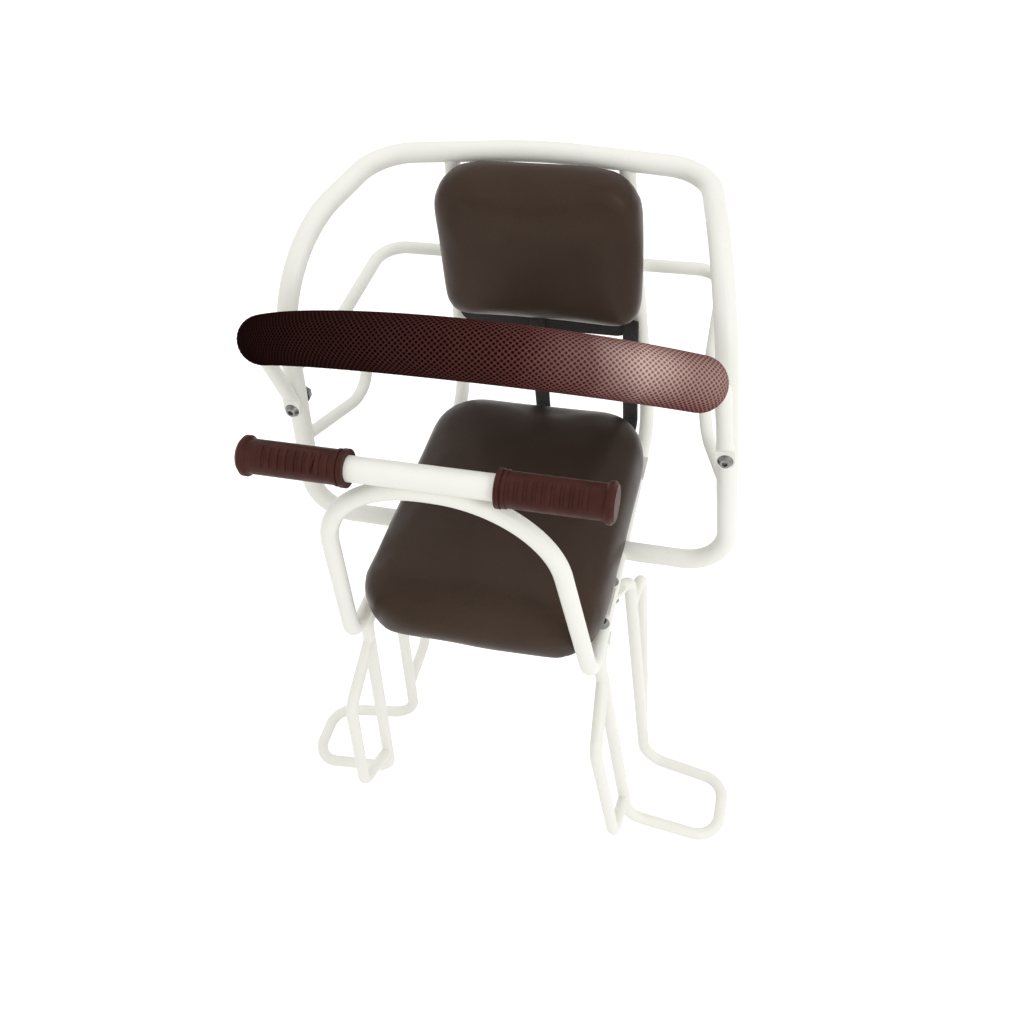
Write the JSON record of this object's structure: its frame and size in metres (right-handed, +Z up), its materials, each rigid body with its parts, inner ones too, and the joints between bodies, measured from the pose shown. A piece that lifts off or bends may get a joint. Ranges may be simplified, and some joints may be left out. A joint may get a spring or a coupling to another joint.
{
  "type": "rear child bike seat",
  "caption": "Child seat for a bicycle's rear rack: white bent-tube frame with fence and padded bar, front handlebar with rubber grips, dark brown cushions and hanging footrests.",
  "frame": {"origin": "centre of the rack-hole pattern, on the underside of the two cross strips, where the seat rests on a rack", "axes": "+Z up, -Y the front where the child's legs hang, +X the seat's left-hand side seen by the child facing -Y"},
  "size_m": [0.392, 0.32, 0.5285],
  "materials": {
    "coat": "cream white powder coat, satin, faint grain",
    "cushion": "smooth dark brown synthetic leather with a soft sheen",
    "sleeve": "burgundy brown knitted mesh",
    "foam": "closed-cell foam tube",
    "grip": "dark reddish brown moulded rubber, satin",
    "board": "bare plywood",
    "dark_board": "plywood covered in dark cloth",
    "webbing": "black woven webbing",
    "zinc": "zinc plated, dull"
  },
  "bodies": {
    "root": {"rail_upright_left": "coat", "rail_upright_right": "coat", "front_cross_strip": "coat", "rear_cross_strip": "coat", "fence_hoop": "coat", "upper_guard_rod": "coat", "guard_strut_left": "coat", "guard_strut_right": "coat", "front_arch": "coat", "handlebar_tube": "coat", "grip_left": "grip", "grip_right": "grip", "bar_inner_tube": "coat", "bar_foam": "foam", "bar_sleeve": "sleeve", "leg_rod_left": "coat", "leg_rod_right": "coat", "front_loop_left": "coat", "front_loop_right": "coat", "rear_loop_left": "coat", "rear_loop_right": "coat", "seat_board": "board", "seat_cushion": "cushion", "back_board": "dark_board", "back_cushion": "cushion", "strap_middle": "webbing", "strap_right": "webbing", "bar_bolts": "zinc", "bar_washers": "zinc", "bar_nuts": "zinc", "leg_bolts": "zinc", "leg_washers": "zinc", "leg_nuts": "zinc", "seat_screws": "zinc", "back_screws": "zinc"}
  },
  "joints": []
}
